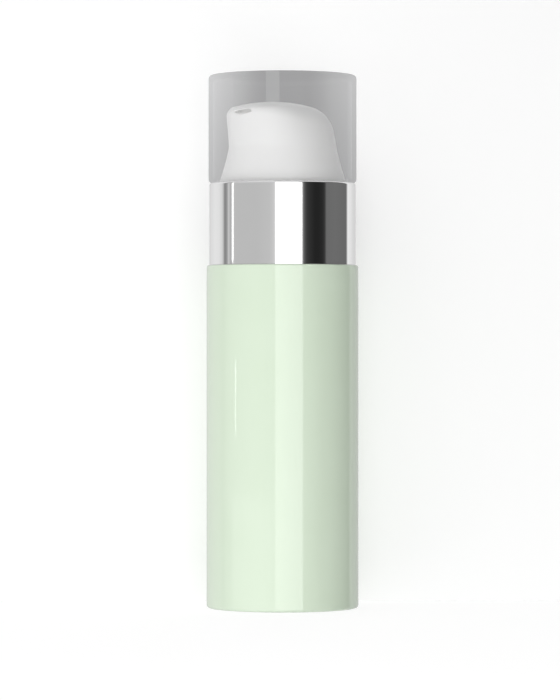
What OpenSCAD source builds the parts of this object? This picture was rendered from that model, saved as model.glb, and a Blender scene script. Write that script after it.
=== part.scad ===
// Airless pump bottle of about 50 ml: a double-walled bottle with a rising follower piston,
// a spring-returned pump, a white press head with a broad beak, a chrome collar and a clear overcap.
// The origin is the centre of the foot ring, on the table. Z points up and the nozzle points to -Y.

/* [Outer bottle] */
// Outside diameter of the outer bottle
body_d = 38; // [35:0.5:44]
// Height of the outer bottle, from the table to its rim
body_h = 85.6; // [72:0.2:110]
// Wall of the outer bottle
body_wall = 1.6; // [1.2:0.1:2.2]
// Thickness of the outer bottle's floor
floor_t = 2; // [1.2:0.1:3]
// Height of the hollow under the floor
foot_h = 1; // [0.5:0.1:2]
// Width of the foot ring, at the table
foot_w = 2.4; // [1.8:0.1:4]
// Rounding of the foot's outer edge
foot_round = 0.8; // [0.3:0.1:1.2]
// Rounding of the outer bottle's rim
rim_round = 0.45; // [0.2:0.05:0.6]
// Diameter of the air hole in the floor
vent_d = 1.6; // [0.8:0.1:3]

/* [Inner bottle] */
// Wall of the inner bottle
inner_wall = 1.2; // [0.8:0.1:1.8]
// How far the inner bottle's shoulder lies under the outer bottle's rim
shoulder_drop = 2; // [1.4:0.1:4]
// Thickness of the inner bottle's shoulder
shoulder_t = 1.4; // [0.8:0.1:2.4]
// Outside diameter of the neck
neck_d = 24; // [22.6:0.1:25]
// Wall of the neck
neck_wall = 1.2; // [0.8:0.1:1.5]
// Height of the neck above the shoulder
neck_h = 11; // [9:0.1:11.4]
// How far the snap bead stands out of the neck
bead_out = 0.5; // [0.2:0.05:0.8]
// How far the snap bead's ridge lies under the top of the neck
bead_drop = 3; // [2:0.1:5]
// Height of the vented base plug
plug_h = 3; // [2:0.1:5]
// Thickness of the base plug's plate
plug_t = 1.2; // [0.8:0.1:1.8]
// Diameter of each air hole in the base plug
plug_vent_d = 2; // [1:0.1:4]
// Number of air holes in the base plug
plug_vents = 6; // [3:1:10]
// Diameter of the ring that the base plug's air holes stand on
plug_vent_ring_d = 18; // [14:0.5:20]

/* [Follower piston] */
// Thickness of the follower's crown and walls
follower_t = 1.2; // [0.8:0.1:1.6]
// How far each sealing lip reaches out of the follower's side
lip_reach = 0.7; // [0.4:0.1:1.2]
// Height of each sealing lip
lip_h = 1.8; // [1:0.1:3]

/* [Pump] */
// Bore of the pump's barrel
barrel_bore = 11; // [9:0.1:12]
// Wall of the pump's barrel
barrel_wall = 0.9; // [0.6:0.1:1.4]
// Thickness of the pump's flange
flange_t = 1.2; // [0.8:0.1:1.6]
// Thickness of the gasket between neck and flange
gasket_t = 1; // [0.6:0.1:1.4]
// Length of the skirt that plugs the neck
neck_plug_h = 3.6; // [2:0.1:6]
// Travel of the press head
stroke = 4.5; // [3:0.1:4.8]
// Travel of the piston on its stem, which opens the ports
float_travel = 0.75; // [0.5:0.05:1.2]
// Height of the piston
piston_h = 5; // [3.6:0.1:7]
// Diameter of the inlet hole
inlet_d = 4; // [2:0.1:5]
// Diameter of the inlet disc
disc_d = 6.4; // [5.8:0.1:7]
// Thickness of the inlet disc
disc_t = 0.6; // [0.4:0.1:1]
// Lift of the inlet disc
disc_lift = 0.8; // [0.4:0.1:1.2]
// Outside diameter of the stem
stem_d = 6; // [5:0.1:6.6]
// Bore of the stem
stem_bore = 3.2; // [2.4:0.1:3.8]
// Wire diameter of the return spring
wire_d = 0.8; // [0.5:0.05:0.9]
// Height of the return spring as fitted
spring_h = 10.5; // [10:0.1:12]
// Coils of the return spring
spring_turns = 5; // [4:0.5:6]

/* [Closure and collar] */
// How far the collar's side lies inside the outer bottle's side
collar_in = 0.7; // [0.3:0.05:1.2]
// Height of the collar
collar_h = 20.45; // [19.8:0.05:23]
// Wall of the collar's metal shell
collar_t = 0.4; // [0.3:0.05:0.5]
// Rounding of the collar's top edge
collar_round = 0.9; // [0.5:0.1:1]
// Wall of the closure ring's outer sleeve
sleeve_t = 0.6; // [0.4:0.05:0.8]
// Wall of the closure ring's inner skirt
skirt_t = 1.3; // [0.9:0.1:2]
// Thickness of the closure ring's web over the pump's flange
web_t = 1.4; // [1:0.1:1.8]

/* [Overcap] */
// How far the cap's side lies inside the outer bottle's side
cap_in = 0.5; // [0.2:0.05:0.9]
// Height of the cap that shows
cap_h = 27; // [24.5:0.5:40]
// Wall of the cap
cap_wall = 1.2; // [0.8:0.1:1.4]
// Thickness of the cap's roof
cap_roof = 1.4; // [0.8:0.1:2.4]
// Length of the spigot that plugs into the collar
spigot_h = 3; // [1.5:0.1:4]
// Wall of the cap's spigot
spigot_t = 0.95; // [0.6:0.05:1]
// Height of the step inside the cap over its spigot
cap_step = 1; // [0.5:0.1:2]
// Rounding of the cap's upper edge
cap_round = 0.9; // [0.4:0.1:1.1]
// Rounding of the cap's lower edge
cap_foot_round = 0.6; // [0.2:0.1:0.8]

/* [Press head] */
// Wall of the press head
head_wall = 1.2; // [0.8:0.1:1.4]
// How far the head's skirt reaches into the collar
skirt_dip = 2.6; // [1.6:0.1:2.8]
// Height of the flared skirt above the collar, up to the crease under the beak
flare_h = 9.1; // [7:0.1:11]
// How far the crease lies inside the skirt's edge
flare_in = 2.45; // [1.5:0.05:3.5]
// Height of the head's crown above the crease
crown_h = 11.1; // [9:0.05:12]
// How far the back's upper edge lies inside the skirt's edge
back_in = 3.65; // [3:0.05:5]
// How far the beak's front lies inside the skirt's edge
beak_in = 1.1; // [0.6:0.1:2]
// Half angle of the beak's even front
beak_front = 15; // [10:1:25]
// Half angle at which the beak's cheeks run out
beak_fade = 84; // [60:1:90]
// Edge rounding over the beak
beak_round = 1.7; // [1.4:0.1:2.4]
// Edge rounding over the back
back_round = 3.7; // [3:0.1:5]
// Distance from the axis to the crown's high point, towards the beak
crown_shift = 3.5; // [2:0.5:6]
// Width of the nozzle's slot
slot_w = 5.8; // [3:0.1:6.2]
// Height of the nozzle's slot
slot_h = 1.25; // [0.6:0.05:1.4]
// Depth of the slot's middle under the crown's high point
slot_drop = 2.8; // [2.6:0.1:4]
// Rim of the nozzle round its slot
slot_rim = 0.35; // [0.25:0.05:0.45]
// Thickness of the ribs inside the head
rib_t = 1; // [0.6:0.1:1.6]

/* [Clearances] */
// Running clearance of sliding fits, on the radius
run_gap = 0.05; // [0.02:0.01:0.08]
// Clearance between faces that seat on each other
seat_gap = 0.05; // [0.02:0.01:0.1]
// Assembly clearance between bottle walls, and of snap fits, on the radius
slip_gap = 0.1; // [0.05:0.01:0.2]
// Free space kept round moving pieces at the end of their travel
free_gap = 0.5; // [0.4:0.1:0.8]
// Free space between the press head and the cap's spigot, on the radius
head_gap = 0.4; // [0.3:0.05:0.6]

/* [Hidden] */
$fn = 96;
round_steps = 6;
// How far a cutting shape runs past what it cuts
past = 1;

// Outer bottle and inner bottle
body_r = body_d / 2;
body_bore_r = body_r - body_wall;
floor_z = foot_h + floor_t;
inner_r = body_bore_r - slip_gap;
chamber_r = inner_r - inner_wall;
inner_z = floor_z + seat_gap;
shoulder_z = body_h - shoulder_drop;
shoulder_under = shoulder_z - shoulder_t;
neck_r = neck_d / 2;
neck_bore_r = neck_r - neck_wall;
neck_z = shoulder_z + neck_h;
bead_z = neck_z - bead_drop;
bead_half = 2 * bead_out;
plug_r = chamber_r - run_gap;
plug_z = inner_z + plug_h;
plug_bead_z = inner_z + plug_h / 2;
plug_bead_out = 0.25;
plug_bead_half = 0.5;
plug_vent_ring = plug_vent_ring_d / 2;

// Pump, from its flange down to the inlet
barrel_r = barrel_bore / 2;
barrel_out_r = barrel_r + barrel_wall;
flange_z = neck_z + gasket_t;
flange_top = flange_z + flange_t;
flange_r = neck_r - slip_gap;
neck_skirt_r = neck_bore_r - run_gap;
neck_skirt_t = 0.95;
guide_plug_h = 5;
seal_t = 0.75;
stem_shoulder_t = 1;
core_flange_t = 1;
cage_roof_t = 1.5;
inlet_t = 1.2;
guide_z = flange_top - guide_plug_h;
seal_z = guide_z - seat_gap - seal_t;
stem_shoulder_z = seal_z - seat_gap - stem_shoulder_t;
piston_z = stem_shoulder_z - float_travel - seat_gap - piston_h;
core_z = piston_z - seat_gap - core_flange_t;
cage_h = disc_t + disc_lift + 2 * seat_gap + cage_roof_t;
cage_z = core_z - stroke - free_gap - cage_h;
barrel_z = cage_z - seat_gap - inlet_t;
cage_hole_d = 1.6;
cage_holes = 4;
cage_hole_ring = 2.2;

// Stem, spring and guide
stem_r = stem_d / 2;
stem_bore_r = stem_bore / 2;
flow_gap = 1.2;
stem_shoulder_r = barrel_r - flow_gap;
stem_z = piston_z;
port_w = 1.4;
port_h = float_travel;
boss_t = 1.3;
boss_r = stem_r + boss_t;
boss_h = 1.5;
web_z = flange_top + seat_gap;
web_top = web_z + web_t;
guide_flange_w = 5.2;
guide_flange_r = boss_r + guide_flange_w;
guide_flange_t = web_t / 2;
guide_lap = 1.1;
guide_hub_r = guide_flange_r - guide_lap;
spring_r = boss_r + free_gap + wire_d / 2;
spring_z = web_top + seat_gap;
spring_seat_z = spring_z + spring_h;
spring_seat_t = 1;
spring_seat_r = spring_r + wire_d;
stem_socket = 8.5;
stem_top = spring_seat_z + spring_seat_t + stem_socket;
wire_sides = 8;
wire_steps = 20;

// Follower piston
follower_r = chamber_r - run_gap - lip_reach;
follower_z = plug_z + seat_gap;
well_r = barrel_out_r + free_gap;
well_depth = shoulder_under - barrel_z;
well_lift = 1;
follower_h = well_lift + follower_t + well_depth;

// Collar, closure and overcap
collar_r = body_r - collar_in;
collar_z = body_h + seat_gap;
collar_top = collar_z + collar_h;
sleeve_r = collar_r - collar_t - seat_gap / 2;
sleeve_bore_r = sleeve_r - sleeve_t;
sleeve_top = collar_top - collar_t - seat_gap;
mouth_r = body_bore_r - seat_gap;
mouth_z = shoulder_z + seat_gap;
mouth_t = 1.4;
bead_lead = 1;
skirt_z = bead_z - bead_half - bead_lead;
closure_bore_r = neck_r + slip_gap;
cap_r = body_r - cap_in;
cap_z = collar_top + seat_gap;
cap_top = cap_z + cap_h;
cap_bore_r = cap_r - cap_wall;
spigot_r = sleeve_bore_r - run_gap;
spigot_bore_r = spigot_r - spigot_t;

// Press head
head_r = spigot_bore_r - head_gap;
head_z = collar_top - skirt_dip;
crease_z = collar_top + flare_h;
crease_r = head_r - flare_in;
crown_z = crease_z + crown_h;
back_r = head_r - back_in;
beak_r = head_r - beak_in;
edge_drop = 3.7;
edge_z = crown_z - edge_drop;
flare_bend = 1.1;
flare_bend_beak = 0.25;
crown_fall_front = 0.013;
crown_fall_back = 0.0145;
crown_fall_across = 0.0143;
inner_round_min = 0.6;
azimuths = 60;
skirt_rings = 6;
wall_rings = 3;
round_rings = 5;
top_rings = 4;
slot_z = crown_z - slot_drop;
slot_end = 0.45;
nozzle_in = 0.1;
nozzle_half_h = slot_h / 2 + slot_rim + past;
lens_steps = 8;
duct_r = 1.5;
duct_bore_r = 0.9;
duct_drop = 2.2;
duct_grip = 2;
duct_z = slot_z - duct_drop;
block_w = 8;
block_bottom = duct_z - duct_r - slot_rim;
block_depth = 4.2;
block_front_r = head_wall_r(0, block_bottom) - head_wall - slip_gap;
block_back = block_front_r - block_depth;
passage_w = 1.4;
socket_wall = 1.6;
socket_r = stem_r + socket_wall;
socket_z = spring_seat_z + spring_seat_t + seat_gap;
rib_root = 1;
rib_lift = 1.5;
rib_rise = 3;
rib_z0 = socket_z + rib_lift;
rib_z1 = crease_z + rib_rise;
rib_gap = 0.15;
socket_top = crown(-socket_r, 0) - head_wall - rib_gap;

// Points of a round edge: centre, radius, start and end angle
function round_edge(x, z, r, a0, a1) =
    [for (i = [0:round_steps]) let (a = a0 + (a1 - a0) * i / round_steps) [x + r * cos(a), z + r * sin(a)]];

// Share of the beak at an angle from the nozzle: 1 on its front, 0 behind its cheeks
function beak_share(a) =
    let (t = (abs(a) - beak_front) / (beak_fade - beak_front))
    t <= 0 ? 1 : t >= 1 ? 0 : (1 + cos(180 * t)) / 2;

// Height of the crown's outer face over a point, u towards the nozzle and w across
function crown(u, w) =
    let (fall = u > crown_shift ? crown_fall_front : crown_fall_back)
    crown_z - fall * pow(u - crown_shift, 2) - crown_fall_across * w * w;

// Radius of the head's side at an angle from the nozzle and a height
function head_wall_r(a, z) = z <= crease_z ? head_skirt_r(a, z) : head_upper_r(a, z);
function head_skirt_r(a, z) =
    let (t = min(1, max(0, (crease_z - z) / flare_h)))
    crease_r + flare_in * pow(t, flare_bend + flare_bend_beak * beak_share(a));
function head_upper_r(a, z) =
    let (t = (z - crease_z) / (edge_z - crease_z))
    crease_r + (back_r - crease_r) * t + (beak_r - back_r) * t * beak_share(a);
function head_round(a, inset) =
    max(inner_round_min, back_round + (beak_round - back_round) * beak_share(a) - inset);

// One point of the head's side, rounded edge or crown, on the face that lies inset from the outside
function skirt_point(a, t, inset) =
    let (z = head_z + (crease_z - head_z) * t) [head_wall_r(a, z) - inset, z];
function edge_start_z(a, inset) =
    let (r = head_wall_r(a, edge_z)) crown(r * cos(a), r * sin(a)) - inset - head_round(a, inset);
function wall_point(a, t, inset) =
    let (z = crease_z + (edge_start_z(a, inset) - crease_z) * t) [head_wall_r(a, z) - inset, z];
function edge_point(a, t, inset) =
    let (f = head_round(a, inset),
         rise = f * sin(90 * t),
         r = head_wall_r(a, edge_start_z(a, inset) + rise) - inset - f * (1 - cos(90 * t)))
    [r, crown(r * cos(a), r * sin(a)) - inset - f + rise];
function crown_point(a, t, inset) =
    let (r = edge_point(a, 1, inset)[0] * (1 - t)) [r, crown(r * cos(a), r * sin(a)) - inset];

// One face of the head from the skirt's edge to the last ring under the pole
function head_profile(a, inset) = concat(
    [for (i = [0:skirt_rings]) skirt_point(a, i / skirt_rings, inset)],
    [for (i = [1:wall_rings]) wall_point(a, i / wall_rings, inset)],
    [for (i = [1:round_rings]) edge_point(a, i / round_rings, inset)],
    [for (i = [1:top_rings - 1]) crown_point(a, i / top_rings, inset)]);

// Outline of the nozzle's slot, wider and higher by a rim
function lens(rim) =
    let (w = slot_w / 2 + rim, h = slot_h / 2 + rim)
    [for (side = [1, -1]) for (i = [0:lens_steps])
        let (s = side * (1 - 2 * i / lens_steps)) [w * s, side * h * (1 - (1 - slot_end) * s * s)]];

module lathe(points) {
    rotate_extrude() polygon(points);
}

// A solid outline in X and Z, from one distance in front of the axis to another
module toward_nozzle(near, far) {
    translate([0, -near, 0]) rotate([90, 0, 0]) linear_extrude(far - near) children();
}

module round_holes(count, ring, d, z, h) {
    for (i = [0:count - 1]) rotate(i * 360 / count) translate([ring, 0, z]) cylinder(d = d, h = h);
}

module outer_bottle() {
    color("#e2f3de") difference() {
        lathe(concat(
            [[0, foot_h], [body_r - foot_w - foot_h, foot_h], [body_r - foot_w, 0]],
            round_edge(body_r - foot_round, foot_round, foot_round, -90, 0),
            round_edge(body_r - rim_round, body_h - rim_round, rim_round, 0, 90),
            [[body_bore_r, body_h], [body_bore_r, floor_z], [0, floor_z]]));
        translate([0, 0, foot_h - past]) cylinder(d = vent_d, h = floor_t + 2 * past);
    }
}

module inner_bottle() {
    color("#f4f5f2") lathe([
        [chamber_r, inner_z], [inner_r, inner_z], [inner_r, shoulder_z], [neck_r, shoulder_z],
        [neck_r, bead_z - bead_half], [neck_r + bead_out, bead_z], [neck_r, bead_z + bead_half],
        [neck_r, neck_z], [neck_bore_r, neck_z], [neck_bore_r, shoulder_under],
        [chamber_r, shoulder_under], [chamber_r, plug_bead_z + plug_bead_half + slip_gap],
        [chamber_r + plug_bead_out, plug_bead_z + slip_gap],
        [chamber_r + plug_bead_out, plug_bead_z - slip_gap],
        [chamber_r, plug_bead_z - plug_bead_half - slip_gap]]);
}

module inner_base() {
    color("#e9ebe6") difference() {
        lathe([
            [0, inner_z], [plug_r, inner_z], [plug_r, plug_bead_z - plug_bead_half],
            [plug_r + plug_bead_out, plug_bead_z], [plug_r, plug_bead_z + plug_bead_half],
            [plug_r, plug_z], [plug_r - plug_t, plug_z], [plug_r - plug_t, inner_z + plug_t],
            [0, inner_z + plug_t]]);
        round_holes(plug_vents, plug_vent_ring, plug_vent_d, inner_z - past, plug_t + 2 * past);
    }
}

module follower_piston() {
    color("#f7f7f5") translate([0, 0, follower_z]) lathe([
        [0, well_lift], [well_r + follower_t, well_lift],
        [well_r + follower_t, follower_h - follower_t], [follower_r - follower_t, follower_h - follower_t],
        [follower_r - follower_t, 0], [follower_r + lip_reach, 0], [follower_r, lip_h],
        [follower_r, follower_h - lip_h], [follower_r + lip_reach, follower_h],
        [well_r, follower_h], [well_r, follower_h - well_depth], [0, follower_h - well_depth]]);
}

module neck_gasket() {
    color("#d9dcd8") translate([0, 0, neck_z]) difference() {
        cylinder(r = flange_r, h = gasket_t - seat_gap);
        translate([0, 0, -past]) cylinder(r = neck_bore_r, h = gasket_t + 2 * past);
    }
}

module closure_ring() {
    color("#f1f2ef") lathe([
        [mouth_r - mouth_t, mouth_z], [mouth_r, mouth_z], [mouth_r, collar_z], [sleeve_r, collar_z],
        [sleeve_r, sleeve_top - collar_round], [sleeve_r - collar_round + collar_t, sleeve_top],
        [sleeve_bore_r, sleeve_top],
        [sleeve_bore_r, web_top], [guide_hub_r + slip_gap, web_top],
        [guide_hub_r + slip_gap, web_z + guide_flange_t + seat_gap],
        [guide_flange_r + slip_gap, web_z + guide_flange_t + seat_gap], [guide_flange_r + slip_gap, web_z],
        [closure_bore_r, web_z], [closure_bore_r, bead_z + bead_half + slip_gap],
        [closure_bore_r + bead_out, bead_z + slip_gap], [closure_bore_r + bead_out, bead_z - slip_gap],
        [closure_bore_r, bead_z - bead_half - slip_gap], [closure_bore_r, skirt_z],
        [closure_bore_r + skirt_t, skirt_z], [closure_bore_r + skirt_t, web_z],
        [mouth_r - mouth_t, web_z]]);
}

module collar_shell() {
    color("#cfd2d4") lathe(concat(
        [[collar_r - collar_t, collar_z], [collar_r, collar_z]],
        round_edge(collar_r - collar_round, collar_top - collar_round, collar_round, 0, 90),
        [[sleeve_bore_r, collar_top], [sleeve_bore_r, collar_top - collar_t]],
        round_edge(collar_r - collar_round, collar_top - collar_round, collar_round - collar_t, 90, 0)));
}

module pump_housing() {
    color("#f3f4f1") difference() {
        lathe([
            [0, barrel_z], [barrel_out_r, barrel_z], [barrel_out_r, flange_z],
            [neck_skirt_r - neck_skirt_t, flange_z], [neck_skirt_r - neck_skirt_t, flange_z - neck_plug_h],
            [neck_skirt_r, flange_z - neck_plug_h], [neck_skirt_r, flange_z],
            [flange_r, flange_z], [flange_r, flange_top], [barrel_r, flange_top],
            [barrel_r, barrel_z + inlet_t], [0, barrel_z + inlet_t]]);
        translate([0, 0, barrel_z - past]) cylinder(d = inlet_d, h = inlet_t + 2 * past);
    }
}

module inlet_valve() {
    color("#dfe8ee") translate([0, 0, barrel_z + inlet_t + seat_gap]) cylinder(d = disc_d, h = disc_t);
}

module valve_cage() {
    color("#e6e7e3") difference() {
        translate([0, 0, cage_z]) cylinder(r = barrel_r - run_gap, h = cage_h);
        translate([0, 0, cage_z - past]) cylinder(d = disc_d + free_gap, h = cage_h - cage_roof_t + past);
        round_holes(cage_holes, cage_hole_ring, cage_hole_d, cage_z, cage_h + past);
    }
}

module stem_guide() {
    color("#eeefec") lathe([
        [stem_r + run_gap, guide_z], [barrel_r - run_gap, guide_z], [barrel_r - run_gap, web_z],
        [guide_flange_r, web_z], [guide_flange_r, web_z + guide_flange_t],
        [guide_hub_r, web_z + guide_flange_t], [guide_hub_r, web_top], [boss_r, web_top],
        [boss_r, web_top + boss_h], [stem_r + run_gap, web_top + boss_h]]);
}

module stem_seal() {
    color("#c9ccc9") translate([0, 0, seal_z]) difference() {
        cylinder(r = barrel_r - run_gap, h = seal_t);
        translate([0, 0, -past]) cylinder(r = stem_r + run_gap, h = seal_t + 2 * past);
    }
}

// A round wire along a helix, with a ring of points at each step
module return_spring() {
    steps = ceil(spring_turns * wire_steps);
    rise = spring_h - wire_d - 2 * seat_gap;
    wire_r = wire_d / 2;
    points = [for (i = [0:steps]) for (k = [0:wire_sides - 1])
        let (a = 360 * spring_turns * i / steps, b = 360 * k / wire_sides, r = spring_r + wire_r * cos(b))
        [r * cos(a), r * sin(a), spring_z + wire_r + rise * i / steps + wire_r * sin(b)]];
    sides = [for (i = [0:steps - 1]) for (k = [0:wire_sides - 1])
        let (p = i * wire_sides + k, q = i * wire_sides + (k + 1) % wire_sides)
        each [[p, q, q + wire_sides], [p, q + wire_sides, p + wire_sides]]];
    caps = [[for (k = [wire_sides - 1:-1:0]) k], [for (k = [0:wire_sides - 1]) steps * wire_sides + k]];
    color("#a9adb0") polyhedron(points, concat(sides, caps));
}

module pump_stem() {
    color("#f2f2ef") difference() {
        lathe([
            [stem_bore_r, stem_z], [stem_r, stem_z], [stem_r, stem_shoulder_z],
            [stem_shoulder_r, stem_shoulder_z], [stem_shoulder_r, stem_shoulder_z + stem_shoulder_t],
            [stem_r, stem_shoulder_z + stem_shoulder_t], [stem_r, spring_seat_z],
            [spring_seat_r, spring_seat_z], [spring_seat_r, spring_seat_z + spring_seat_t],
            [stem_r, spring_seat_z + spring_seat_t], [stem_r, stem_top], [stem_bore_r, stem_top]]);
        translate([-port_w / 2, -stem_d, stem_z - past]) cube([port_w, 2 * stem_d, port_h + past]);
    }
}

module pump_piston() {
    lip = 1.4;
    lip_out = 0.8;
    lip_t = 0.5;
    web = 0.6;
    edge_r = barrel_r - run_gap;
    side_r = edge_r - lip_out;
    hub_r = side_r - web;
    color("#f8f8f6") translate([0, 0, piston_z]) lathe([
        [stem_r + run_gap, 0], [hub_r, 0], [hub_r, lip], [edge_r - lip_t, 0],
        [edge_r, 0], [side_r, lip + web], [side_r, piston_h - lip - web],
        [edge_r, piston_h], [edge_r - lip_t, piston_h], [hub_r, piston_h - lip],
        [stem_r + run_gap, piston_h - lip]]);
}

module piston_core() {
    pin_r = stem_bore_r - run_gap;
    color("#e4e5e1") {
        translate([0, 0, core_z]) cylinder(r = stem_shoulder_r, h = core_flange_t);
        intersection() {
            translate([0, 0, core_z]) cylinder(r = pin_r, h = core_flange_t + piston_h);
            translate([-pin_r, -pin_r / 2, core_z]) cube([2 * pin_r, pin_r, core_flange_t + piston_h]);
        }
    }
}

// One closed skin: up the inside from its pole to the skirt's edge, and back over the outside
module actuator_shell() {
    inside = [for (i = [0:azimuths - 1]) head_profile(signed_angle(i), head_wall)];
    outside = [for (i = [0:azimuths - 1]) head_profile(signed_angle(i), 0)];
    rings = len(outside[0]);
    points = concat(
        [[0, 0, crown(0, 0) - head_wall]],
        [for (j = [rings - 1:-1:0]) for (i = [0:azimuths - 1]) spun(i, inside[i][j])],
        [for (j = [0:rings - 1]) for (i = [0:azimuths - 1]) spun(i, outside[i][j])],
        [[0, 0, crown(0, 0)]]);
    last = 2 * rings - 1;
    sides = [for (j = [0:last - 1]) for (i = [0:azimuths - 1])
        let (p = 1 + j * azimuths + i, q = 1 + j * azimuths + (i + 1) % azimuths)
        each [[p, q + azimuths, q], [p, p + azimuths, q + azimuths]]];
    poles = [for (i = [0:azimuths - 1]) let (n = (i + 1) % azimuths)
        each [[0, 1 + i, 1 + n], [1 + last * azimuths + n, 1 + last * azimuths + i, len(points) - 1]]];
    color("#fafafa") difference() {
        polyhedron(points, concat(sides, poles));
        translate([0, 0, slot_z]) toward_nozzle(block_back - slip_gap, beak_r + past)
            polygon(lens(slot_rim + run_gap));
    }
}
function signed_angle(i) = let (a = 360 * i / azimuths) a > 180 ? a - 360 : a;
function spun(i, p) = let (a = 360 * i / azimuths - 90) [p[0] * cos(a), p[0] * sin(a), p[1]];

module actuator_core() {
    rib_r = stem_r + rib_root;
    rib = concat([[rib_r, rib_z1], [rib_r, rib_z0]],
        [for (z = [rib_z0, crease_z, rib_z1]) [head_wall_r(180, z) - head_wall - rib_gap, z]]);
    duct_end = block_back + duct_grip;
    color("#ececea") difference() {
        union() {
            translate([0, 0, socket_z]) cylinder(r = socket_r, h = socket_top - socket_z);
            translate([0, 0, duct_z]) rotate([90, 0, 0]) cylinder(r = duct_r, h = duct_end);
            for (a = [90:90:270]) rotate(a - 90) rotate([90, 0, 0]) translate([0, 0, -rib_t / 2])
                linear_extrude(rib_t) polygon(rib);
        }
        translate([0, 0, socket_z - past])
            cylinder(r = stem_r + run_gap, h = stem_top + seat_gap - socket_z + past);
        translate([0, 0, socket_z]) cylinder(r = stem_bore_r, h = duct_z - socket_z);
        translate([0, 0, duct_z]) rotate([90, 0, 0]) cylinder(r = duct_bore_r, h = duct_end + past);
    }
}

module nozzle_insert() {
    passage_y = block_back + duct_grip;
    color("#f4f4f4") difference() {
        union() {
            intersection() {
                translate([0, 0, slot_z]) toward_nozzle(block_back, beak_r + past) polygon(lens(slot_rim));
                translate([0, 0, slot_z - nozzle_half_h])
                    cylinder(r = beak_r - nozzle_in, h = 2 * nozzle_half_h);
            }
            intersection() {
                translate([-block_w / 2, -block_front_r, block_bottom])
                    cube([block_w, block_depth, slot_z - block_bottom]);
                translate([0, 0, block_bottom - past])
                    cylinder(r = block_front_r, h = slot_z - block_bottom + 2 * past);
            }
        }
        translate([0, 0, slot_z]) toward_nozzle(passage_y, beak_r + past) polygon(lens(0));
        translate([-passage_w / 2, -passage_y - passage_w, duct_z - duct_bore_r])
            cube([passage_w, passage_w, slot_z - duct_z + duct_bore_r]);
        translate([0, 0, duct_z]) toward_nozzle(block_back - past, passage_y + seat_gap)
            circle(r = duct_r + run_gap);
    }
}

module overcap() {
    color("#b4b6b9", 0.45) lathe(concat(
        [[spigot_bore_r, cap_z - spigot_h], [spigot_r, cap_z - spigot_h], [spigot_r, cap_z]],
        round_edge(cap_r - cap_foot_round, cap_z + cap_foot_round, cap_foot_round, -90, 0),
        round_edge(cap_r - cap_round, cap_top - cap_round, cap_round, 0, 90),
        [[0, cap_top], [0, cap_top - cap_roof], [cap_bore_r, cap_top - cap_roof],
         [cap_bore_r, cap_z + cap_step], [spigot_bore_r, cap_z + cap_step]]));
}

outer_bottle();
inner_bottle();
inner_base();
follower_piston();
neck_gasket();
closure_ring();
collar_shell();
pump_housing();
inlet_valve();
valve_cage();
stem_guide();
stem_seal();
return_spring();
pump_stem();
pump_piston();
piston_core();
actuator_shell();
actuator_core();
nozzle_insert();
overcap();
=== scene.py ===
"""An airless pump bottle on a pale floor: its visible pieces, their finishes, and a small photo studio.

Lengths are in millimetres up to the point where they reach Blender, which takes metres."""

import math

import bmesh
import bpy
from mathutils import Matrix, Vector


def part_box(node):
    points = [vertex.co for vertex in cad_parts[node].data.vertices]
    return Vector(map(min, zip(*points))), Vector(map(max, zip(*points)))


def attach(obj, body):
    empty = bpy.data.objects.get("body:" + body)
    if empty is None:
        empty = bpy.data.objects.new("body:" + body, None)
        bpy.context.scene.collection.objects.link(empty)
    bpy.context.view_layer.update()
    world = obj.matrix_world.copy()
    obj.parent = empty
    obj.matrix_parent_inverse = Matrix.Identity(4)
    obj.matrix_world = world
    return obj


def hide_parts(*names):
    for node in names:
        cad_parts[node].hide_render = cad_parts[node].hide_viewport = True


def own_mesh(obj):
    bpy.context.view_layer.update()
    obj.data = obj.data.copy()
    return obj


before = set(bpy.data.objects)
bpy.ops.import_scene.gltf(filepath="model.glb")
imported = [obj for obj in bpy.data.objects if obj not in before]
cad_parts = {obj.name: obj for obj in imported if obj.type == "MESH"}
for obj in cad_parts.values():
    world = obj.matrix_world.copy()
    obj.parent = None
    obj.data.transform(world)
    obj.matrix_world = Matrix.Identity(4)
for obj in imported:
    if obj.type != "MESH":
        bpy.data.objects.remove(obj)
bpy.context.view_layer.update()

MM = 0.001
SMOOTH_ANGLE = math.radians(32)
SEGMENTS = 192
ARC_STEPS = 8
MERGE_WITHIN = 0.002

# The outer bottle, in millimetres from its foot
BOTTLE_WALL = 1.6
FLOOR_Z = 3.0
FOOT_HOLLOW = 1.0
FOOT_WIDTH = 2.4
FOOT_ROUND = 0.8
RIM_ROUND = 0.45
AIR_HOLE_R = 0.8

# The chrome collar
COLLAR_SHEET = 0.4
COLLAR_ROUND = 0.5
COLLAR_MOUTH_R = 17.275

# The overcap
CAP_WALL = 1.2
CAP_ROOF = 1.4
CAP_ROUND = 0.9
CAP_FOOT_ROUND = 1.0
SPIGOT_H = 3.0
SPIGOT_R = 17.225
SPIGOT_WALL = 0.95
SPIGOT_ROUND = 0.2
CAP_STEP = 1.0
CAP_CORNER = 0.5
CAP_INSIDE_MARGIN = 0.1

# The press head: a flared skirt, and over it a beak in front that fades into a round back
HEAD_WALL = 1.2
FLARE_H = 9.1
FLARE_IN = 2.45
FLARE_BEND = 1.1
FLARE_BEND_BEAK = 0.25
CREASE_Z = 115.2
CROWN_H = 11.1
BACK_IN = 3.65
BEAK_IN = 1.1
BEAK_FRONT = 15
BEAK_FADE = 84
BEAK_ROUND = 1.7
BACK_ROUND = 3.7
CROWN_SHIFT = 3.5
CROWN_FALL_FRONT = 0.013
CROWN_FALL_BACK = 0.0145
CROWN_FALL_ACROSS = 0.0143
SKIRT_ROUND = 0.3
HEAD_SIDES = 160
SKIRT_RINGS = 16
WALL_RINGS = 10
EDGE_RINGS = 10
CROWN_RINGS = 12

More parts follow.
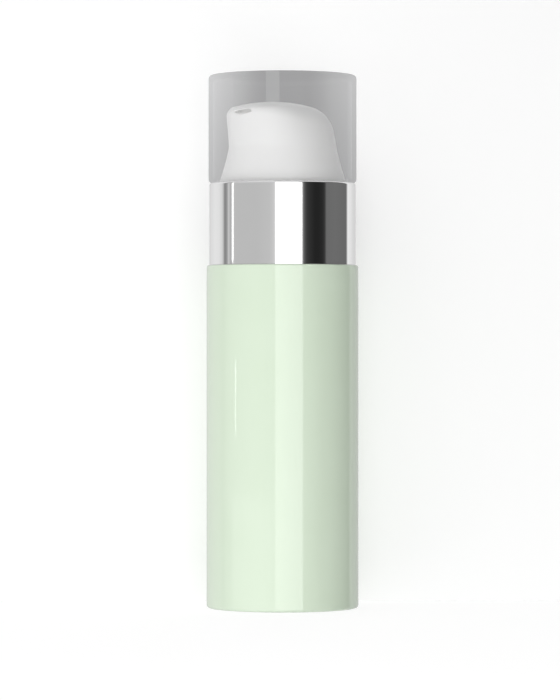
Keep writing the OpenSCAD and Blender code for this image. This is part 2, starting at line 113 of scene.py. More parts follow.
# The nozzle in the beak's front: a lens-shaped slot, its lip, and the block that carries it
SLOT_W = 5.6
SLOT_H = 1.05
SLOT_DROP = 2.8
SLOT_RIM = 0.3
SLOT_END = 0.35
SLOT_DEPTH = 1.7
SLOT_ROUND = 0.2
LIP_STEPS = 6
NOZZLE_IN = 0.01
NOZZLE_EDGE = 0.04
FIT_GAP = 0.02
CUT_IN = 4
CUT_OUT = 2
LENS_STEPS = 24
HALVINGS = 30
BLOCK_FRONT = -12.9
BLOCK_TOP_IN = 0.9
BLOCK_ROUND = 0.3

# The return spring
SPRING_WIRE = 0.8
SPRING_TURNS = 5
WIRE_SIDES = 12
COIL_STEPS = 40


def in_mm(node):
    """The lowest and highest corner of a CAD node, in millimetres"""
    low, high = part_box(node)
    return low / MM, high / MM


def arc(radius, height, size, start, end, steps=ARC_STEPS):
    """Points of a round edge: its centre's radius and height, its size, and its first and last angle"""
    angles = [math.radians(start + (end - start) * i / steps) for i in range(steps + 1)]
    return [(radius + size * math.cos(a), height + size * math.sin(a)) for a in angles]


def just_added(name):
    """The object that Blender added last, given its name"""
    piece = bpy.context.object
    piece.name = name
    piece.data.name = name
    return piece


def select_only(piece):
    """Makes a piece the one selected and active object"""
    bpy.ops.object.select_all(action="DESELECT")
    piece.select_set(True)
    bpy.context.view_layer.objects.active = piece


def editing(piece, mode="VERT"):
    """Opens a piece in edit mode with nothing selected"""
    select_only(piece)
    bpy.ops.object.mode_set(mode="EDIT")
    bpy.ops.mesh.select_mode(type=mode)
    bpy.ops.mesh.select_all(action="DESELECT")


def pick(piece, mode, wanted):
    """Selects the vertices, edges or faces of the open piece that pass a test"""
    bpy.ops.mesh.select_mode(type=mode)
    bpy.ops.mesh.select_all(action="DESELECT")
    work = bmesh.from_edit_mesh(piece.data)
    for item in {"VERT": work.verts, "EDGE": work.edges, "FACE": work.faces}[mode]:
        item.select_set(wanted(item))
    work.select_flush_mode()
    bmesh.update_edit_mesh(piece.data)


def close_mesh():
    """Merges doubled points, turns all faces outwards and leaves edit mode"""
    bpy.ops.mesh.select_all(action="SELECT")
    bpy.ops.mesh.remove_doubles(threshold=MERGE_WITHIN * MM)
    bpy.ops.mesh.normals_make_consistent(inside=False)
    bpy.ops.object.mode_set(mode="OBJECT")


def modify(piece, kind, **settings):
    """Adds a modifier to a piece and applies it"""
    select_only(piece)
    modifier = piece.modifiers.new(kind.title(), kind)
    for name, value in settings.items():
        setattr(modifier, name, value)
    bpy.ops.object.modifier_apply(modifier=modifier.name)


def smooth(piece, weighted=True):
    """Smooth shading, which can keep the large faces true beside their small rounded edges"""
    select_only(piece)
    bpy.ops.object.shade_smooth_by_angle(angle=SMOOTH_ANGLE)
    if weighted:
        modify(piece, "WEIGHTED_NORMAL", keep_sharp=True, weight=100)


def outline_piece(name, outline, closed=True, start=0):
    """An outline in radius and height, in millimetres, as a wire piece open in edit mode"""
    bpy.ops.object.select_all(action="DESELECT")
    bpy.ops.mesh.primitive_circle_add(vertices=len(outline), radius=MM)
    piece = just_added(name)
    turn = math.radians(start)
    for vertex, (radius, height) in zip(piece.data.vertices, outline):
        vertex.co = Vector((radius * math.cos(turn), radius * math.sin(turn), height)) * MM
    editing(piece)
    if not closed:
        last = len(outline) - 1
        pick(piece, "EDGE", lambda edge: {v.index for v in edge.verts} == {0, last})
        bpy.ops.mesh.delete(type="EDGE")
    return piece


def turned(name, outline, closed=True, start=0, sweep=360, steps=SEGMENTS):
    """A piece turned on the lathe: its outline spun about Z"""
    piece = outline_piece(name, outline, closed, start)
    bpy.ops.mesh.select_all(action="SELECT")
    bpy.ops.mesh.spin(steps=steps, angle=-math.radians(sweep), center=(0, 0, 0), axis=(0, 0, 1))
    close_mesh()
    return piece


def make_outer_bottle():
    """The glossy outer bottle: straight wall, rounded rim, hollow foot with an air hole"""
    low, high = in_mm("outer_bottle")
    radius = high.x
    height = high.z
    bore = radius - BOTTLE_WALL
    outline = [
        (AIR_HOLE_R, FOOT_HOLLOW),
        (radius - FOOT_WIDTH - FOOT_HOLLOW, FOOT_HOLLOW),
        (radius - FOOT_WIDTH, low.z),
        *arc(radius - FOOT_ROUND, FOOT_ROUND, FOOT_ROUND, -90, 0),
        *arc(radius - RIM_ROUND, height - RIM_ROUND, RIM_ROUND, 0, 90),
        (bore, height),
        (bore, FLOOR_Z),
        (AIR_HOLE_R, FLOOR_Z),
    ]
    piece = turned("outer_bottle_skin", outline)
    smooth(piece)
    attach(piece, "bottle")
    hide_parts("outer_bottle")
    return piece


def make_collar():
    """The chrome collar: a thin drawn sleeve with a rounded shoulder and an inward lip"""
    low, high = in_mm("collar_shell")
    radius = high.x
    top = high.z
    middle = radius - COLLAR_ROUND
    outline = [
        (radius - COLLAR_SHEET, low.z),
        (radius, low.z),
        *arc(middle, top - COLLAR_ROUND, COLLAR_ROUND, 0, 90),
        *arc(COLLAR_MOUTH_R, top - COLLAR_SHEET / 2, COLLAR_SHEET / 2, 90, 270),
        *arc(middle, top - COLLAR_ROUND, COLLAR_ROUND - COLLAR_SHEET, 90, 0),
    ]
    piece = turned("collar_sleeve", outline)
    smooth(piece)
    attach(piece, "bottle")
    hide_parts("collar_shell")
    return piece


def make_overcap():
    """The clear overcap: a cup with rounded edges, and a spigot that plugs into the collar"""
    low, high = in_mm("overcap")
    radius = high.x
    top = high.z
    foot = low.z + SPIGOT_H
    bore = radius - CAP_WALL
    spigot_bore = SPIGOT_R - SPIGOT_WALL
    tip = SPIGOT_ROUND
    outline = [
        (0, top - CAP_ROOF),
        *reversed(arc(bore - CAP_CORNER, top - CAP_ROOF - CAP_CORNER, CAP_CORNER, 0, 90)),
        (bore, foot + CAP_STEP),
        (spigot_bore, foot + CAP_STEP),
        *arc(spigot_bore + tip, low.z + tip, tip, 180, 270, 3),
        *arc(SPIGOT_R - tip, low.z + tip, tip, 270, 360, 3),
        (SPIGOT_R, foot),
        *arc(radius - CAP_FOOT_ROUND, foot + CAP_FOOT_ROUND, CAP_FOOT_ROUND, -90, 0),
        *arc(radius - CAP_ROUND, top - CAP_ROUND, CAP_ROUND, 0, 90),
        (0, top),
    ]
    piece = turned("overcap_cup", outline, closed=False, steps=2 * SEGMENTS)
    smooth(piece)
    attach(piece, "overcap")
    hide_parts("overcap")
    return piece


HEAD_LOW, HEAD_HIGH = in_mm("actuator_shell")
SKIRT_Z = HEAD_LOW.z
SKIRT_R = HEAD_HIGH.x
CREASE_R = SKIRT_R - FLARE_IN
CROWN_Z = CREASE_Z + CROWN_H
EDGE_Z = CROWN_Z - BACK_ROUND
BACK_R = SKIRT_R - BACK_IN
BEAK_R = SKIRT_R - BEAK_IN
SLOT_Z = CROWN_Z - SLOT_DROP


def beak_share(angle):
    """Share of the beak at an angle from the nozzle: 1 on its front, 0 behind its cheeks"""
    t = min(1, max(0, (abs(angle) - BEAK_FRONT) / (BEAK_FADE - BEAK_FRONT)))
    return (1 + math.cos(math.pi * t)) / 2


def crown(angle, radius):
    """Height of the crown over a point at an angle from the nozzle and a distance from the axis"""
    along = radius * math.cos(math.radians(angle)) - CROWN_SHIFT
    across = radius * math.sin(math.radians(angle))
    fall = CROWN_FALL_FRONT if along > 0 else CROWN_FALL_BACK
    return CROWN_Z - fall * along ** 2 - CROWN_FALL_ACROSS * across ** 2


def side_radius(angle, height):
    """Radius of the head's side: the flared skirt below the crease, the beak or the back above it"""
    share = beak_share(angle)
    if height <= CREASE_Z:
        t = min(1, (CREASE_Z - height) / FLARE_H)
        return CREASE_R + FLARE_IN * t ** (FLARE_BEND + FLARE_BEND_BEAK * share)
    t = (height - CREASE_Z) / (EDGE_Z - CREASE_Z)
    return CREASE_R + (BACK_R - CREASE_R) * t + (BEAK_R - BACK_R) * t * share


def skirt_point(angle, t):
    """Radius and height of the skirt at a share of its height"""
    height = SKIRT_Z + (CREASE_Z - SKIRT_Z) * t
    return side_radius(angle, height), height


def edge_size(angle):
    """Size of the round between side and crown"""
    return BACK_ROUND + (BEAK_ROUND - BACK_ROUND) * beak_share(angle)


def edge_start(angle):
    """Height at which that round begins"""
    return crown(angle, side_radius(angle, EDGE_Z)) - edge_size(angle)


def wall_point(angle, t):
    """Radius and height of the wall over the crease"""
    height = CREASE_Z + (edge_start(angle) - CREASE_Z) * t
    return side_radius(angle, height), height


def edge_point(angle, t):
    """Radius and height of the round between side and crown"""
    size = edge_size(angle)
    rise = size * math.sin(math.pi / 2 * t)
    radius = side_radius(angle, edge_start(angle) + rise) - size * (1 - math.cos(math.pi / 2 * t))
    return radius, crown(angle, radius) - size + rise


def crown_point(angle, t):
    """Radius and height of the crown, from its edge to the axis"""
    radius = edge_point(angle, 1)[0] * (1 - t)
    return radius, crown(angle, radius)


def lay_ring(piece, place, t):
    """Puts the selected ring of the open piece on the surface that a function of angle and share gives"""
    work = bmesh.from_edit_mesh(piece.data)
    for vertex in work.verts:
        if vertex.select:
            angle = math.degrees(math.atan2(vertex.co.x, -vertex.co.y))
            radius, height = place(angle, t)
            turn = math.radians(angle)
            vertex.co = Vector((radius * math.sin(turn), -radius * math.cos(turn), height)) * MM
    bmesh.update_edit_mesh(piece.data)


def outside(x, height):
    """How far the head reaches in front of the axis, beside the nozzle's middle by x and at a height"""
    angle = math.degrees(math.asin(x / BEAK_R))
    if height <= edge_start(angle):
        return side_radius(angle, height) * math.cos(math.radians(angle))
    below, above = 0, 1
    for _ in range(HALVINGS):
        middle = (below + above) / 2
        if edge_point(angle, middle)[1] < height:
            below = middle
        else:
            above = middle
    return edge_point(angle, below)[0] * math.cos(math.radians(angle))


def lens(rim):
    """Outline of the nozzle's slot, wider and higher by a rim"""
    half_w = SLOT_W / 2 + rim
    half_h = SLOT_H / 2 + rim
    points = []
    for side in (1, -1):
        for i in range(LENS_STEPS + 1):
            s = side * (1 - 2 * i / LENS_STEPS)
            points.append((half_w * s, SLOT_Z + side * half_h * (1 - (1 - SLOT_END) * s * s)))
    return points


def lens_tube(name, rings):
    """A closed tube of lens outlines. Each ring has a rim, and a function for how far it lies in front"""
    outline = lens(rings[0][0])
    bpy.ops.object.select_all(action="DESELECT")
    bpy.ops.mesh.primitive_circle_add(vertices=len(outline), radius=MM, fill_type="NGON")
    piece = just_added(name)
    editing(piece)
    bpy.ops.mesh.select_all(action="SELECT")
    for i, (rim, front) in enumerate(rings):
        if i:
            bpy.ops.mesh.extrude_region_move()
        work = bmesh.from_edit_mesh(piece.data)
        ring = [v for v in work.verts if v.select]
        for vertex, (x, z) in zip(ring, lens(rim)):
            vertex.co = Vector((x, -front(x, z), z)) * MM
        bmesh.update_edit_mesh(piece.data)
    return piece


def make_press_head():
    """The press head: skirt, beak and crown drawn up ring by ring, given its wall, then cut for the nozzle"""
    bpy.ops.object.select_all(action="DESELECT")
    bpy.ops.mesh.primitive_circle_add(vertices=HEAD_SIDES, radius=SKIRT_R * MM, location=(0, 0, SKIRT_Z * MM))
    piece = just_added("press_head")
    bpy.ops.object.transform_apply(location=True, rotation=True, scale=True)
    editing(piece)
    bpy.ops.mesh.select_all(action="SELECT")
    lay_ring(piece, skirt_point, 0)
    zones = {
        skirt_point: SKIRT_RINGS, wall_point: WALL_RINGS, edge_point: EDGE_RINGS, crown_point: CROWN_RINGS}
    for place, rings in zones.items():
        last = rings if place is not crown_point else rings - 1
        for i in range(1, last + 1):
            bpy.ops.mesh.extrude_region_move()
            lay_ring(piece, place, i / rings)
    bpy.ops.mesh.extrude_region_move()
    bpy.ops.mesh.merge(type="CENTER")
    close_mesh()
    modify(piece, "SOLIDIFY", thickness=HEAD_WALL * MM, offset=-1, use_even_offset=True)
    editing(piece)

    def along_foot(edge):
        at_foot = all(v.co.z < (SKIRT_Z + 0.01) * MM for v in edge.verts)
        return at_foot and edge.calc_length() < HEAD_WALL * 0.9 * MM

    # The foot's inner and outer ring of edges. The edges across the wall are as long as it is thick
    pick(piece, "EDGE", along_foot)
    bpy.ops.mesh.bevel(offset=SKIRT_ROUND * MM, segments=4, affect="EDGES")
    bpy.ops.object.mode_set(mode="OBJECT")
    hole = SLOT_RIM + FIT_GAP
    ends = [(hole, lambda x, z: BEAK_R - CUT_IN), (hole, lambda x, z: BEAK_R + CUT_OUT)]
    cutter = lens_tube("slot_cutter", ends)
    close_mesh()
    modify(piece, "BOOLEAN", object=cutter, operation="DIFFERENCE", solver="EXACT")
    bpy.data.objects.remove(cutter)
    smooth(piece, weighted=False)
    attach(piece, "head")
    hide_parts("actuator_shell")
    return piece


def make_nozzle():
    """The nozzle insert: a slot with a rounded lip, flush with the beak, and the block behind it"""
    low, high = in_mm("nozzle_insert")

    def sunk(depth):
        return lambda x, z: outside(x, z) - NOZZLE_IN - depth

    rings = [
        (SLOT_RIM, lambda x, z: -high.y),
        (SLOT_RIM, sunk(NOZZLE_EDGE)),
        (SLOT_RIM - NOZZLE_EDGE, sunk(0)),
    ]
    for i in range(LIP_STEPS + 1):
        a = math.pi / 2 * (1 - i / LIP_STEPS)
        rings.append((SLOT_ROUND * (1 - math.cos(a)), sunk(SLOT_ROUND * (1 - math.sin(a)))))
    rings.append((0, sunk(SLOT_DEPTH)))
    piece = lens_tube("nozzle_lip", rings)
    close_mesh()
    middle = Vector((0, (BLOCK_FRONT + high.y) / 2, (low.z + high.z - BLOCK_TOP_IN) / 2))
    bpy.ops.object.select_all(action="DESELECT")
    bpy.ops.mesh.primitive_cube_add(size=MM, location=middle * MM)
    block = bpy.context.object
    bpy.ops.object.transform_apply(location=True, rotation=True, scale=True)
    editing(block)
    bpy.ops.mesh.select_all(action="SELECT")
    size = (high.x - low.x, high.y - BLOCK_FRONT, high.z - BLOCK_TOP_IN - low.z)
    bpy.ops.transform.resize(value=size, center_override=middle * MM)
    bpy.ops.mesh.bevel(offset=BLOCK_ROUND * MM, segments=3, affect="EDGES")
    bpy.ops.object.mode_set(mode="OBJECT")
    modify(piece, "BOOLEAN", object=block, operation="UNION", solver="EXACT")
    bpy.data.objects.remove(block)
    smooth(piece)
    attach(piece, "head")
    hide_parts("nozzle_insert")
    return piece


def make_spring():
    """The return spring: round steel wire in a coil of even pitch"""
    low, high = in_mm("return_spring")
    wire_r = SPRING_WIRE / 2
    coil_r = high.x - wire_r
    rise = high.z - low.z - SPRING_WIRE
    section = arc(coil_r, low.z + wire_r, wire_r, 0, 360 - 360 / WIRE_SIDES, WIRE_SIDES - 1)
    piece = outline_piece("coil_spring", section)
    bpy.ops.object.mode_set(mode="OBJECT")
    modify(piece, "SCREW", axis="Z", angle=math.radians(360 * SPRING_TURNS), screw_offset=rise * MM,
           steps=COIL_STEPS * SPRING_TURNS, render_steps=COIL_STEPS * SPRING_TURNS)
    editing(piece, "EDGE")
    bpy.ops.mesh.select_non_manifold()
    bpy.ops.mesh.fill_holes(sides=0)
    close_mesh()
    smooth(piece)
    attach(piece, "bottle")
    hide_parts("return_spring")
    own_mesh(piece)
    return piece


# Finishes


def linear(code):
    """A colour from its sRGB hex code, turned to linear light"""
    values = [int(code[i:i + 2], 16) / 255 for i in (1, 3, 5)]
    return [v / 12.92 if v <= 0.04045 else ((v + 0.055) / 1.055) ** 2.4 for v in values] + [1]


def add(tree, kind, inputs=None, **settings):
    """Adds a node with its settings, and fills or links its inputs"""
    node = tree.nodes.new(kind)
    for name, value in settings.items():
        setattr(node, name, value)
    for name, value in (inputs or {}).items():
        if isinstance(value, bpy.types.NodeSocket):
            tree.links.new(value, node.inputs[name])
        else:
            node.inputs[name].default_value = value
    return node


def new_material(name):
    """An empty node material"""
    material = bpy.data.materials.new(name)
    material.use_nodes = True
    material.node_tree.nodes.clear()
    return material, material.node_tree


def moulded(name, colour, darker, roughness, spread, grain, depth, **sockets):
    """A moulded, plated or lacquered surface: a slight drift of colour, uneven gloss, and a fine relief whose
    grain and depth are in millimetres"""
    material, tree = new_material(name)
    place = add(tree, "ShaderNodeTexCoord").outputs["Object"]
    drift = add(tree, "ShaderNodeTexNoise", {"Vector": place, "Scale": 90, "Detail": 2})
    tone = add(tree, "ShaderNodeMix", {
        "Factor": drift.outputs["Fac"], "A": linear(colour), "B": linear(darker)}, data_type="RGBA")
    relief = add(tree, "ShaderNodeTexNoise", {"Vector": place, "Scale": 1 / (grain * MM), "Detail": 3})
    gloss = add(tree, "ShaderNodeMapRange", {
        "Value": relief.outputs["Fac"], "From Min": 0.3, "From Max": 0.7,
        "To Min": roughness - spread, "To Max": roughness + spread})
    bump = add(tree, "ShaderNodeBump", {
        "Height": relief.outputs["Fac"], "Strength": 1, "Distance": depth * MM})
    surface = add(tree, "ShaderNodeBsdfPrincipled", {
        "Base Color": tone.outputs["Result"], "Roughness": gloss.outputs["Result"],
        "Normal": bump.outputs["Normal"], **sockets})
    add(tree, "ShaderNodeOutputMaterial", {"Surface": surface.outputs["BSDF"]})
    return material


def looked_at(tree):
    """1 for rays that show a thing to the camera, straight, in gloss or through clear plastic, and 0 for rays
    that light something"""
    path = add(tree, "ShaderNodeLightPath").outputs

    def both(a, b, operation):
        return add(tree, "ShaderNodeMath", {0: a, 1: b}, operation=operation).outputs[0]

    seen = both(path["Is Camera Ray"], path["Is Glossy Ray"], "MAXIMUM")
    seen = both(seen, path["Is Transmission Ray"], "MAXIMUM")
    straight = both(path["Diffuse Depth"], 0.5, "LESS_THAN")
    return both(seen, straight, "MULTIPLY")


def clear_styrene(name, colour, coat):
    """Clear styrene, bare or with a smoke lacquer. Its thin wall is shown without bending what is behind it,
    and light falls through it unhindered on the head inside"""
    material, tree = new_material(name)
    place = add(tree, "ShaderNodeTexCoord").outputs["Object"]
    relief = add(tree, "ShaderNodeTexNoise", {"Vector": place, "Scale": 1 / (3 * MM), "Detail": 1})
    gloss = add(tree, "ShaderNodeMapRange", {
        "Value": relief.outputs["Fac"], "To Min": 0.0, "To Max": 0.02})
    plastic = add(tree, "ShaderNodeBsdfPrincipled", {
        "Base Color": linear(colour), "Roughness": gloss.outputs["Result"], "IOR": 1.0005,
        "Transmission Weight": 1.0, "Coat Weight": coat, "Coat Roughness": 0.05})
    clear = add(tree, "ShaderNodeBsdfTransparent")
    surface = add(tree, "ShaderNodeMixShader", {
        0: looked_at(tree), 1: clear.outputs["BSDF"], 2: plastic.outputs["BSDF"]})
    add(tree, "ShaderNodeOutputMaterial", {"Surface": surface.outputs["Shader"]})
    return material


def paint(piece, material):
    """Gives a new piece its material, or a CAD node a better one"""
    if not piece.material_slots:
        piece.data.materials.append(material)
    for slot in piece.material_slots:
        slot.material = material


def paint_inside(piece, material):
    """Gives the bore, the roof's underside and the spigot of the overcap another material"""
    high = in_mm("overcap")[1]
    reach = high.x - CAP_WALL + CAP_INSIDE_MARGIN
    ceiling = high.z - CAP_ROOF + CAP_INSIDE_MARGIN
    piece.data.materials.append(material)
    editing(piece, "FACE")

    def inner(face):
        middle = face.calc_center_median() / MM
        return middle.xy.length < reach and middle.z < ceiling

    pick(piece, "FACE", inner)
    piece.active_material_index = 1
    bpy.ops.object.material_slot_assign()
    bpy.ops.object.mode_set(mode="OBJECT")


bottle = make_outer_bottle()
collar = make_collar()
cap = make_overcap()
head = make_press_head()
nozzle = make_nozzle()
spring = make_spring()

# Acrylic with a sprayed gloss lacquer: clear reflections with soft edges, and a hardly seen flow of the spray
lacquer = moulded("gloss_lacquered_acrylic_pale_green", "#E6F5E0", "#E2F2DB", 0.035, 0.01, 1.5, 0.0002)
# Aluminium, drawn, polished and chrome plated: a nearly perfect mirror with a trace of haze
chrome = moulded("polished_chrome_plated_aluminium", "#E9E9E9", "#E5E5E5", 0.03, 0.01, 2.0, 0.0001,
                 Metallic=1.0)
# ABS from a fine spark-eroded mould: an even satin white. The real grain of 0.05 mm is drawn five times
# as coarse, or it wouldn't show
white_abs = moulded("satin_moulded_white_abs", "#FDFDFC", "#FAFAF9", 0.35, 0.06, 0.25, 0.002)
# Polypropylene, moulded: waxy and duller than ABS, a little yellower
white_pp = moulded("moulded_white_polypropylene", "#EFF0EC", "#E8EAE5", 0.45, 0.06, 0.3, 0.003)
# Soft polyethylene, moulded, for the lipped pistons: milky, with hardly any gloss
soft_pe = moulded("moulded_soft_polyethylene", "#F4F4F0", "#ECEDE8", 0.5, 0.05, 0.3, 0.002)
# Elastomer, moulded, for the seals: matt and grey
seal = moulded("moulded_grey_elastomer", "#C6C9C6", "#BABEBA", 0.6, 0.05, 0.2, 0.003)
# Spring steel, drawn to wire: a grey metal with fine unevenness from the die, drawn coarser than it is
steel = moulded("drawn_spring_steel", "#B4B8BC", "#A6AAAE", 0.28, 0.06, 0.1, 0.002, Metallic=1.0)
# Styrene, moulded clear: its outside has a thin smoke lacquer that greys what is behind, its inside is bare
smoke = clear_styrene("clear_styrene_with_smoke_lacquer", "#EAEAEB", 0.15)
bare = clear_styrene("clear_styrene_bare_inside", "#FEFEFE", 0.05)

paint(bottle, lacquer)
paint(collar, chrome)
paint(cap, smoke)
paint_inside(cap, bare)
paint(head, white_abs)
paint(nozzle, white_abs)
paint(spring, steel)
INNER_FINISHES = {
    "inner_bottle": white_pp, "inner_base": white_pp, "closure_ring": white_pp, "pump_housing": white_pp,
    "valve_cage": white_pp, "stem_guide": white_pp, "pump_stem": white_pp, "piston_core": white_pp,
    "actuator_core": white_abs, "follower_piston": soft_pe, "pump_piston": soft_pe, "neck_gasket": seal,
    "stem_seal": seal, "inlet_valve": seal,
}
for node_name, finish in INNER_FINISHES.items():
    paint(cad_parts[node_name], finish)

# The camera: level, turned 43 degrees from the nozzle's side
CAMERA_TURN = 43
CAMERA_Z = 64.45
CAMERA_BACK = 930
CAMERA_SLIDE = -0.63
CAMERA_LENS = 191.1


def toward(turn):
    """A level direction from the axis at an angle from the camera, positive to the camera's right"""
    a = math.radians(CAMERA_TURN + turn)
    return Vector((math.sin(a), -math.cos(a), 0))


camera_data = bpy.data.cameras.new("camera")
camera_data.lens = CAMERA_LENS
camera_data.clip_start = 0.01
camera_data.clip_end = 20
camera = bpy.data.objects.new("camera", camera_data)
bpy.context.scene.collection.objects.link(camera)
camera_place = toward(0) * CAMERA_BACK + toward(90) * CAMERA_SLIDE + Vector((0, 0, CAMERA_Z))
camera.location = camera_place * MM
camera.rotation_euler = (math.radians(90), 0, math.radians(CAMERA_TURN))
bpy.context.scene.camera = camera

# The studio: light cards that stand in a ring round the bottle, as in a light tent. Each has its brightness
# at angles from the camera, positive to the camera's right. The haze behind the bottle shows through the
# overcap, and is dimmer low down
RING_R = 500
INNER_RING_R = 492
LAMP_R = 495
RING_LOW = -350
RING_HIGH = 700
LAMP_MAX = 8
DIM_LOW = 126
DIM_HIGH = 172
HAZE_DIM = 0.74
CARDS = {
    "haze_back_left": (
        (-180, 0.454), (-179.2, 0.463), (-178.8, 0.501), (-178.36, 0.573), (-177.9, 0.649),
        (-177.5, 0.711), (-177, 0.764), (-176.5, 0.802), (-176, 0.764)),
    "grey_back_left": (
        (-176, 0.64), (-171, 0.68), (-151, 0.82), (-132, 0.94), (-118, 0.92), (-109, 0.8), (-107, 0.7)),
    "left_gap": (
        (-107, 0.68), (-104, 0.49), (-102, 0.27), (-99, 0.33), (-96, 0.4), (-94, 0.59), (-92, 0.75),
        (-91, 0.6), (-88, 0.51), (-86, 0.51)),
    "grey_wall": (
        (-86, 0.6), (-81, 0.69), (-79, 0.61), (-40, 0.61), (-20, 0.64), (-14, 0.7), (-12, 0.8),
        (-11, 1.08), (-10.5, 1.3)),
    "front_wall": ((-10.5, 0.9), (30, 0.9)),
    "black_flag": (
        (30, 0.6), (32.5, 0.2), (34.5, 0.098), (38, 0.049), (43, 0.034), (51, 0.021), (57, 0.021),
        (64, 0.027), (68, 0.043), (70.5, 0.1)),
    "dark_wall": ((70.5, 0.14), (73, 0.177), (90, 0.184), (115, 0.17), (119, 0.19)),
    "grey_back_right": (
        (119, 0.3), (120.5, 0.55), (123.5, 1.0), (136, 0.9), (145, 0.8), (171, 0.66), (176, 0.6)),
    "haze_back_right": (
        (176, 0.668), (176.9, 0.668), (177.1, 0.635), (177.76, 0.583), (178.3, 0.506), (178.8, 0.463),
        (180, 0.454)),
}


def light_card(name, levels, low=RING_LOW, high=RING_HIGH, radius=RING_R, dim=1.0, through=False, gloss=True):
    """A card of the studio, bright by itself. The camera doesn't see it, or sees it only through the clear
    overcap. Its lower part can be dimmed, and it can be kept out of the gloss"""
    begin, end = levels[0][0], levels[-1][0]
    outline = [(radius, low), (radius, (low + high) / 2), (radius, high)]
    card = turned(name, outline, closed=False, start=CAMERA_TURN - 90 + begin, sweep=end - begin,
                  steps=max(2, round((end - begin) / 3)))
    material, tree = new_material(name)
    place = add(tree, "ShaderNodeTexCoord").outputs["Object"]
    turn = add(tree, "ShaderNodeMapping", {
        "Vector": place, "Rotation": (0, 0, math.radians(90 - CAMERA_TURN))})
    angle = add(tree, "ShaderNodeTexGradient", {"Vector": turn.outputs["Vector"]}, gradient_type="RADIAL")
    share = add(tree, "ShaderNodeMapRange", {
        "Value": angle.outputs["Fac"], "From Min": begin / 360 + 0.5, "From Max": end / 360 + 0.5})
    ramp = add(tree, "ShaderNodeValToRGB", {"Fac": share.outputs["Result"]})
    stops = ramp.color_ramp.elements
    for i, (at, level) in enumerate(levels):
        spot = (at - begin) / (end - begin)
        ends = {0: stops[0], len(levels) - 1: stops[-1]}
        stop = ends[i] if i in ends else stops.new(spot)
        stop.position = spot
        stop.color = (level / LAMP_MAX, level / LAMP_MAX, level / LAMP_MAX, 1)
    height = add(tree, "ShaderNodeSeparateXYZ", {"Vector": place})
    power = add(tree, "ShaderNodeMapRange", {
        "Value": height.outputs["Z"], "From Min": DIM_LOW * MM, "From Max": DIM_HIGH * MM,
        "To Min": LAMP_MAX * dim, "To Max": LAMP_MAX})
    glow = add(tree, "ShaderNodeEmission", {
        "Color": ramp.outputs["Color"], "Strength": power.outputs["Result"]})
    add(tree, "ShaderNodeOutputMaterial", {"Surface": glow.outputs["Emission"]})
    paint(card, material)
    card.visible_camera = False
    card.visible_shadow = False
    card.visible_transmission = through
    card.visible_glossy = gloss
    return card


for card_name, card_levels in CARDS.items():
    if card_name.startswith("haze"):
        light_card(card_name, card_levels, dim=HAZE_DIM, through=True)
    else:
        light_card(card_name, card_levels)

# Lamps and fills of one brightness: where they begin and end round the bottle, how bright, how low and high
light_card("front_softbox", ((-10.5, 3.0), (30, 3.0)), low=-60, high=135, radius=LAMP_R)
light_card("strip_lamp", ((-85.2, 2.5), (-82.6, 2.5)), low=98, high=320, radius=LAMP_R)
light_card("slit_lamp", ((-75.2, 6), (-73.6, 6)), low=33, high=60, radius=LAMP_R)
light_card("left_fill_high", ((-80, 0.8), (-14, 0.8)), low=180, high=420, radius=INNER_RING_R)
light_card("left_fill_low", ((-80, 1.2), (-10.5, 1.2)), low=-300, high=10, radius=INNER_RING_R)
light_card("front_fill_low", ((-10.5, 2.2), (30, 2.2)), low=-330, high=-60, radius=INNER_RING_R)
light_card("back_fill", ((160, 1.1), (200, 1.1)), radius=INNER_RING_R, gloss=False)
light_card("pale_post", ((-179.9, 0.51), (-179.3, 0.51)), radius=INNER_RING_R, through=True)


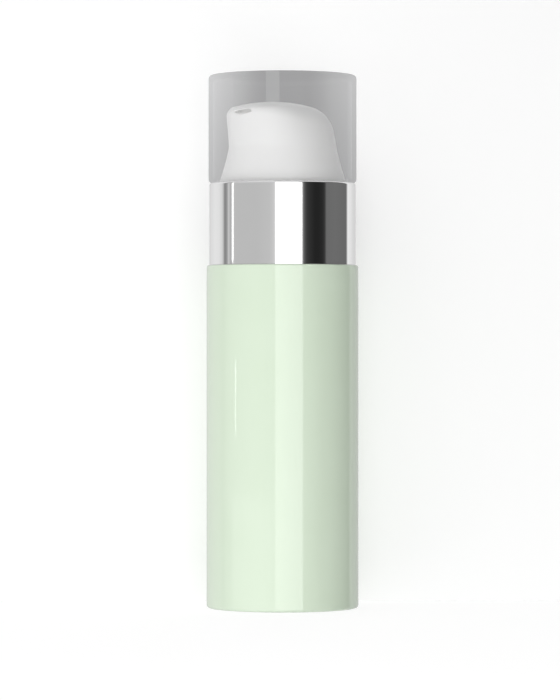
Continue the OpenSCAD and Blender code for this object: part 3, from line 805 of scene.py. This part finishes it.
def pale_ground(name, fill, share, one_sided=False):
    """The studio's pale ground: white to the camera, with the soft shadow kept, and open to light from below
    or, if one-sided, from behind"""
    material, tree = new_material(name)
    shade = add(tree, "ShaderNodeBsdfDiffuse", {"Color": (share, share, share, 1)})
    glow = add(tree, "ShaderNodeEmission", {"Color": (1, 1, 1, 1), "Strength": fill})
    white = add(tree, "ShaderNodeAddShader", {0: shade.outputs["BSDF"], 1: glow.outputs["Emission"]})
    clear = add(tree, "ShaderNodeBsdfTransparent")
    surface = add(tree, "ShaderNodeMixShader", {
        0: looked_at(tree), 1: clear.outputs["BSDF"], 2: white.outputs["Shader"]})
    if one_sided:
        side = add(tree, "ShaderNodeNewGeometry")
        surface = add(tree, "ShaderNodeMixShader", {
            0: side.outputs["Backfacing"], 1: surface.outputs["Shader"], 2: clear.outputs["BSDF"]})
    add(tree, "ShaderNodeOutputMaterial", {"Surface": surface.outputs["Shader"]})
    return material


FLOOR_SIZE = 6000
bpy.ops.object.select_all(action="DESELECT")
bpy.ops.mesh.primitive_plane_add(size=FLOOR_SIZE * MM)
floor = bpy.context.object
floor.name = "floor"
floor.visible_glossy = False
floor.visible_transmission = False
paint(floor, pale_ground("pale_floor", 0.80, 0.32))

# The backdrop stands close behind the bottle and takes its soft shadow
WALL_BACK = 24
WALL_SIZE = 800
wall_place = Vector((0, 0, WALL_SIZE / 2)) - toward(0) * WALL_BACK
bpy.ops.object.select_all(action="DESELECT")
bpy.ops.mesh.primitive_plane_add(size=WALL_SIZE * MM, location=wall_place * MM,
                                 rotation=(math.radians(90), 0, math.radians(CAMERA_TURN)))
wall = bpy.context.object
wall.name = "backdrop"
wall.visible_glossy = False
wall.visible_transmission = False
wall.visible_diffuse = False
wall.visible_shadow = False
paint(wall, pale_ground("pale_backdrop", 0.36, 0.75, one_sided=True))

# The world: white behind everything that is looked at, a plain soft light from above for the rest
world = bpy.data.worlds.new("studio_air")
world.use_nodes = True
tree = world.node_tree
tree.nodes.clear()
air = add(tree, "ShaderNodeMapRange", {"Value": looked_at(tree), "To Min": 0.4, "To Max": 1.0})
sky = add(tree, "ShaderNodeBackground", {"Color": (1, 1, 1, 1), "Strength": air.outputs["Result"]})
add(tree, "ShaderNodeOutputWorld", {"Surface": sky.outputs["Background"]})
bpy.context.scene.world = world

bpy.context.scene.view_settings.view_transform = "Standard"
